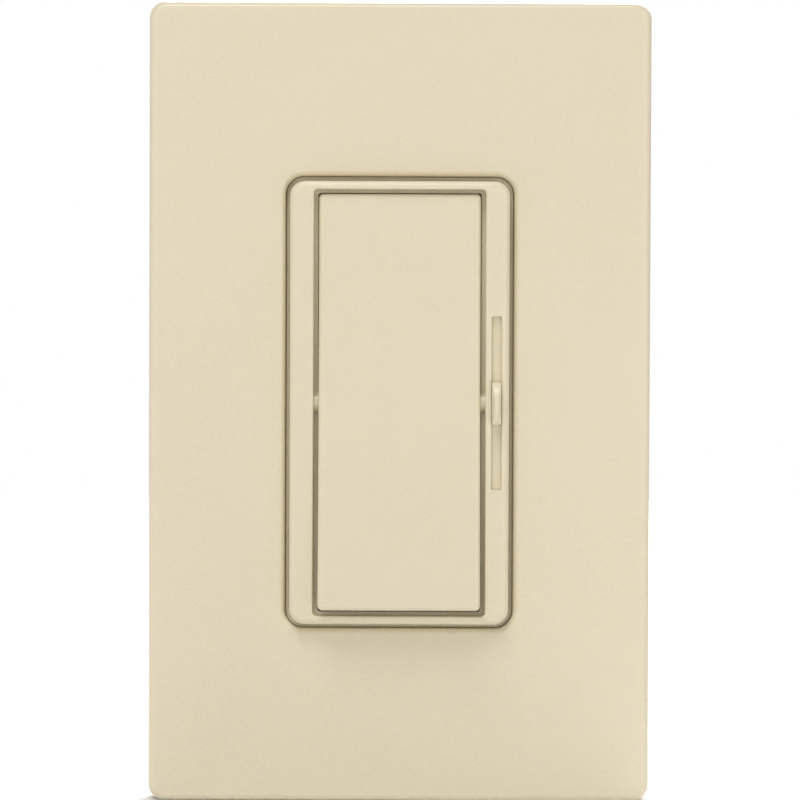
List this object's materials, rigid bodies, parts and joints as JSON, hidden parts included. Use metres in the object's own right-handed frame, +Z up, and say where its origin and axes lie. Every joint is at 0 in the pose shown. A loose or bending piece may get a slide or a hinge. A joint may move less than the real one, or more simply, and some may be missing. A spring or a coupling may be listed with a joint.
{
  "type": "slide dimmer switch",
  "caption": "Wall-box lamp dimmer with a full-height rocker paddle, a small slider in the right rail of its bezel and a screwless ivory wallplate.",
  "frame": {"origin": "centre of the plane of the wallplate's rear rim, which rests on the wall's surface", "axes": "+X to the right seen from the room, +Y into the wall, +Z up; the front faces -Y"},
  "size_m": [0.0746, 0.0384, 0.119],
  "materials": {
    "ivory_plate": "satin moulded ivory plastic",
    "ivory_device": "satin moulded ivory plastic",
    "ivory_slider": "satin moulded ivory plastic",
    "white_plastic": "natural white acetal",
    "black_case": "moulded black thermoplastic",
    "strap_metal": "stamped aluminium",
    "zinc_steel": "zinc plated steel",
    "spring_steel": "spring steel wire",
    "brass": "stamped brass",
    "black_screw": "black oxide steel",
    "green_screw": "green dyed zinc plate",
    "silver_contact": "silver alloy",
    "fibre": "vulcanised fibre",
    "label": "blank foil label",
    "board": "solder-masked glass laminate",
    "phenolic": "phenolic laminate",
    "epoxy_black": "black epoxy package",
    "pad_grey": "thermal pad",
    "ferrite": "coated iron-powder core",
    "copper_wire": "enamelled copper wire",
    "film_yellow": "boxed film capacitor",
    "ceramic_orange": "dipped ceramic",
    "varistor_blue": "dipped varistor",
    "resistor_tan": "coated resistor",
    "diac_glass": "glass diode body",
    "trimmer_blue": "trimmer body"
  },
  "bodies": {
    "device": {"wallplate": "ivory_plate", "wallplate_adapter": "ivory_plate", "adapter_screws": "zinc_steel", "bezel": "ivory_device", "yoke": "strap_metal", "box_screws": "zinc_steel", "screw_retainers": "fibre", "housing": "black_case", "housing_screws": "zinc_steel", "rating_label": "label", "circuit_board": "board", "pot_frame": "zinc_steel", "pot_track": "phenolic", "rocker_bracket": "brass", "fixed_contacts": "silver_contact", "contact_blades": "brass", "common_terminal": "brass", "traveler_terminals": "brass", "common_screw": "black_screw", "traveler_screws": "brass", "clamp_plates": "zinc_steel", "ground_screw": "green_screw", "triac": "epoxy_black", "triac_pad": "pad_grey", "triac_rivet": "zinc_steel", "choke_core": "ferrite", "choke_winding": "copper_wire", "film_capacitor": "film_yellow", "ceramic_capacitor": "ceramic_orange", "varistor": "varistor_blue", "resistors": "resistor_tan", "diac": "diac_glass", "trimmer_body": "trimmer_blue"},
    "paddle": {"paddle": "ivory_device", "plunger_spring": "spring_steel"},
    "plunger": {"plunger": "white_plastic"},
    "contact_arm": {"contact_rocker": "brass", "moving_contacts": "silver_contact"},
    "slider": {"slider_knob": "ivory_slider", "dust_strip": "ivory_slider", "pot_wiper": "white_plastic"},
    "trimmer": {"trimmer_rotor": "white_plastic"}
  },
  "joints": [
    {"name": "paddle_rock", "type": "hinge", "parent": "device", "child": "paddle", "pos_m": [0, -0.0072, 0], "axis": [1, 0, 0], "range_deg": [0, 6.4]},
    {"name": "contact_throw", "type": "hinge", "parent": "device", "child": "contact_arm", "pos_m": [-0.003, 0.0036, 0], "axis": [1, 0, 0], "range_deg": [-16, 0]},
    {"name": "plunger_press", "type": "slide", "parent": "paddle", "child": "plunger", "axis": [0, -0.9984, 0.0558], "range_m": [0, 0.001], "stiffness_N_per_m": 300, "deforming": ["plunger_spring"]},
    {"name": "slider_slide", "type": "slide", "parent": "device", "child": "slider", "axis": [0, 0, 1], "range_m": [-0.0095, 0.0095]},
    {"name": "trimmer_turn", "type": "hinge", "parent": "device", "child": "trimmer", "pos_m": [0.0045, 0.0035, 0.0221], "axis": [0, 1, 0], "range_deg": [-105, 105]}
  ],
  "couplings": [
    {"joint": "contact_throw", "follows": "paddle_rock", "ratio": -2.5}
  ]
}
